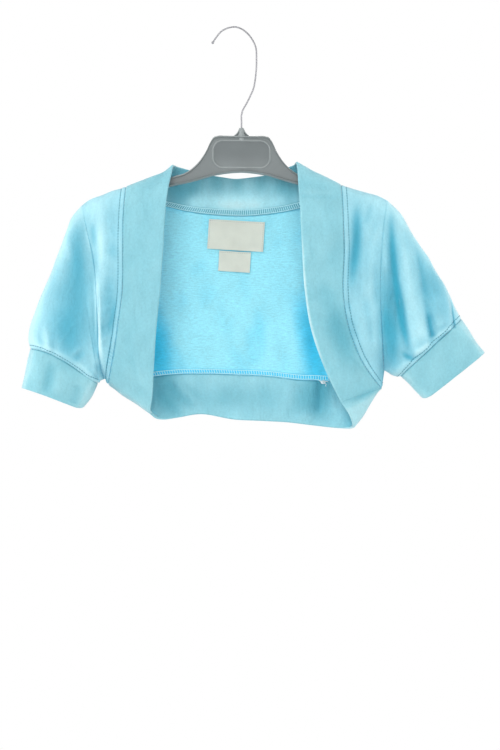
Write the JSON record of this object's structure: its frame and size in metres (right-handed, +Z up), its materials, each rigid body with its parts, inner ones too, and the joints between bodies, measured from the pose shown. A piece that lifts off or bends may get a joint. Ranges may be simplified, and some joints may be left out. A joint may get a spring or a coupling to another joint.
{
  "type": "cardigan on a hanger",
  "caption": "Child's cropped open-front cardigan in pale blue sweatshirt knit, with short puffed sleeves, deep cuffs and a wide band round its edges, on a plastic hanger.",
  "frame": {"origin": "underside of the hook's bend, where it rests on a rail", "axes": "+X to the right across the garment as seen from the front, -Y out of the front, +Z up"},
  "size_m": [0.462, 0.0556, 0.403],
  "materials": {
    "cloth": "matte cotton sweatshirt knit, brushed inside",
    "label": "woven satin tape",
    "hanger_plastic": "smooth moulded",
    "hook_steel": "bright drawn wire"
  },
  "bodies": {
    "root": {"back": "cloth", "front_left": "cloth", "front_right": "cloth", "sleeve_left": "cloth", "sleeve_right": "cloth", "cuff_left": "cloth", "cuff_right": "cloth", "neck_band": "cloth", "hem_band": "cloth", "neck_label": "label", "size_label": "label", "hanger": "hanger_plastic", "hanger_hook": "hook_steel"}
  },
  "joints": []
}
